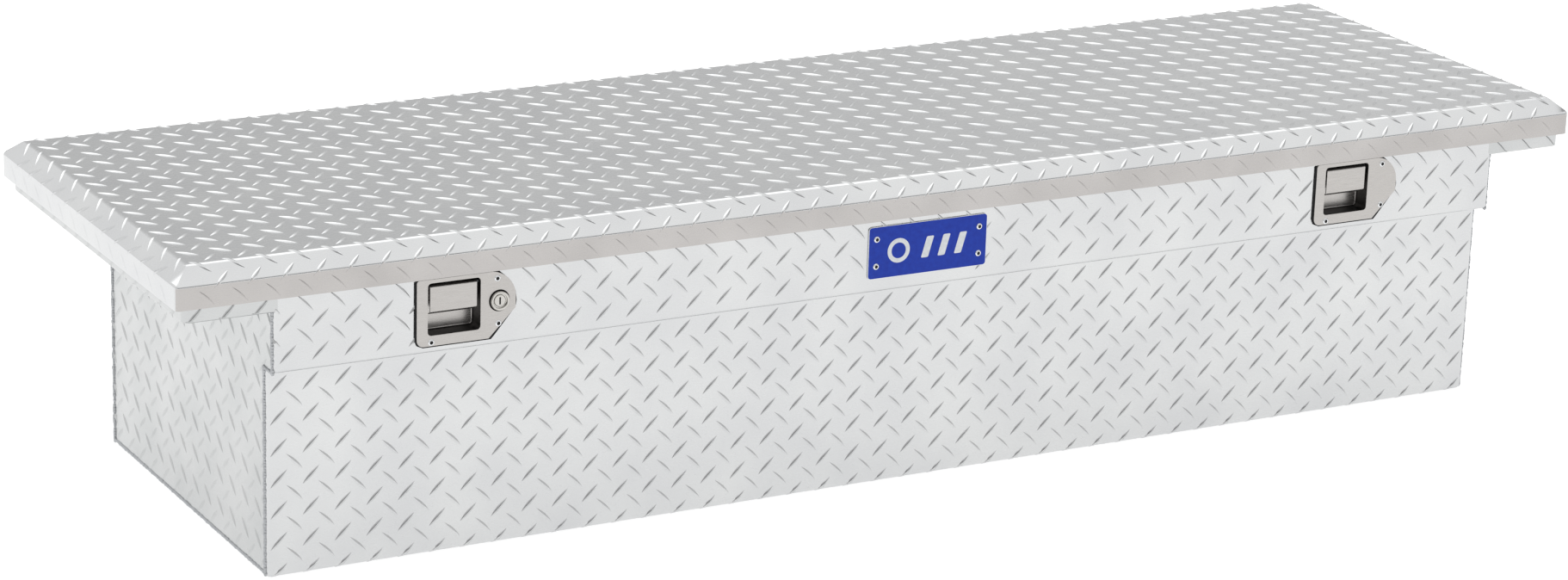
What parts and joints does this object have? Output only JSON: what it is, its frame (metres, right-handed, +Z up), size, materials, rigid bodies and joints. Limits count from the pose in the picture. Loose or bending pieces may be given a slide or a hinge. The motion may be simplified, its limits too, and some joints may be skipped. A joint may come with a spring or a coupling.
{
  "type": "truck tool box",
  "caption": "Low-profile crossover tool box of tread-plate aluminium that rests on a pickup's bed rails, with a hinged foam-filled lid and flush paddle latches.",
  "frame": {"origin": "on the floor under the middle of the closed box's bounding box", "axes": "+X along the length, -Y out of the front with the latches, +Z up"},
  "size_m": [1.752, 0.534, 0.356],
  "materials": {
    "tread_plate": "bright rolled tread plate, satin between the lugs",
    "sheet_aluminium": "plain mill-finish sheet",
    "stainless": "brushed stainless",
    "zinc_steel": "zinc plated",
    "black_rubber": "matt black rubber",
    "black_paint": "semi-gloss black",
    "foam": "rigid foam",
    "blue_enamel": "gloss royal blue",
    "brass": "satin"
  },
  "bodies": {
    "box": {"tub_wrap": "tread_plate", "front_apron": "tread_plate", "rear_apron": "tread_plate", "left_end_plate": "tread_plate", "right_end_plate": "tread_plate", "left_saddle_wing": "tread_plate", "right_saddle_wing": "tread_plate", "rim_seal": "black_rubber", "hinge_body_leaf": "stainless", "hinge_pin": "zinc_steel", "badge": "blue_enamel", "badge_rivet_1": "zinc_steel", "badge_rivet_2": "zinc_steel", "badge_rivet_3": "zinc_steel", "badge_rivet_4": "zinc_steel", "left_latch_face": "stainless", "left_latch_gasket": "black_rubber", "left_latch_rivet_1": "zinc_steel", "left_latch_rivet_2": "zinc_steel", "left_latch_rivet_3": "zinc_steel", "left_latch_bracket": "zinc_steel", "left_hook_pin": "zinc_steel", "left_paddle_spring": "zinc_steel", "lock_housing": "stainless", "right_latch_face": "stainless", "right_latch_gasket": "black_rubber", "right_latch_rivet_1": "zinc_steel", "right_latch_rivet_2": "zinc_steel", "right_latch_rivet_3": "zinc_steel", "right_latch_bracket": "zinc_steel", "right_hook_pin": "zinc_steel", "right_paddle_spring": "zinc_steel", "left_strut_foot": "zinc_steel", "right_strut_foot": "zinc_steel"},
    "lid": {"lid_skin": "tread_plate", "lid_pan": "sheet_aluminium", "lid_foam_core": "foam", "lid_channel": "sheet_aluminium", "hinge_lid_leaf": "stainless", "left_striker": "zinc_steel", "right_striker": "zinc_steel", "left_strut_head": "zinc_steel", "right_strut_head": "zinc_steel"},
    "left_paddle": {"left_paddle": "stainless", "left_paddle_shaft": "zinc_steel", "left_paddle_crank": "zinc_steel"},
    "right_paddle": {"right_paddle": "stainless", "right_paddle_shaft": "zinc_steel", "right_paddle_crank": "zinc_steel"},
    "left_hook": {"left_hook": "zinc_steel"},
    "right_hook": {"right_hook": "zinc_steel"},
    "lock": {"lock_plug": "brass", "lock_cam": "zinc_steel"},
    "left_strut_cylinder": {"left_strut_cylinder": "black_paint"},
    "left_strut_rod": {"left_strut_rod": "zinc_steel"},
    "right_strut_cylinder": {"right_strut_cylinder": "black_paint"},
    "right_strut_rod": {"right_strut_rod": "zinc_steel"}
  },
  "joints": [
    {"name": "lid_hinge", "type": "hinge", "parent": "box", "child": "lid", "pos_m": [0, 0.261, 0.308], "axis": [-1, 0, 0], "range_deg": [0, 75]},
    {"name": "left_paddle_pivot", "type": "hinge", "parent": "box", "child": "left_paddle", "pos_m": [-0.569, -0.256, 0.303], "axis": [-1, 0, 0], "range_deg": [0, 35], "stiffness_Nm_per_rad": 0.4, "springref_deg": -8.59},
    {"name": "right_paddle_pivot", "type": "hinge", "parent": "box", "child": "right_paddle", "pos_m": [0.56, -0.256, 0.303], "axis": [-1, 0, 0], "range_deg": [0, 35], "stiffness_Nm_per_rad": 0.4, "springref_deg": -8.59},
    {"name": "left_hook_pivot", "type": "hinge", "parent": "box", "child": "left_hook", "pos_m": [-0.53225, -0.226, 0.286], "axis": [1, 0, 0], "range_deg": [0, 30]},
    {"name": "right_hook_pivot", "type": "hinge", "parent": "box", "child": "right_hook", "pos_m": [0.59675, -0.226, 0.286], "axis": [1, 0, 0], "range_deg": [0, 30]},
    {"name": "lock_turn", "type": "hinge", "parent": "box", "child": "lock", "pos_m": [-0.5175, -0.25, 0.281], "axis": [0, 1, 0], "range_deg": [0, 90]},
    {"name": "left_strut_swing", "type": "hinge", "parent": "box", "child": "left_strut_cylinder", "pos_m": [-0.748, 0.17, 0.15], "axis": [-1, 0, 0], "range_deg": [0, 20.4]},
    {"name": "left_strut_extend", "type": "slide", "parent": "left_strut_cylinder", "child": "left_strut_rod", "axis": [0, -0.0577, 0.9983], "range_m": [0, 0.0982]},
    {"name": "right_strut_swing", "type": "hinge", "parent": "box", "child": "right_strut_cylinder", "pos_m": [0.748, 0.17, 0.15], "axis": [-1, 0, 0], "range_deg": [0, 20.4]},
    {"name": "right_strut_extend", "type": "slide", "parent": "right_strut_cylinder", "child": "right_strut_rod", "axis": [0, -0.0577, 0.9983], "range_m": [0, 0.0982]}
  ],
  "couplings": [
    {"joint": "left_hook_pivot", "follows": "left_paddle_pivot", "ratio": 0.857},
    {"joint": "right_hook_pivot", "follows": "right_paddle_pivot", "ratio": 0.857},
    {"joint": "left_strut_swing", "follows": "lid_hinge", "ratio": 0.2709},
    {"joint": "right_strut_swing", "follows": "lid_hinge", "ratio": 0.2709},
    {"joint": "left_strut_extend", "follows": "lid_hinge", "m_per_rad": 0.07486},
    {"joint": "right_strut_extend", "follows": "lid_hinge", "m_per_rad": 0.07486}
  ]
}
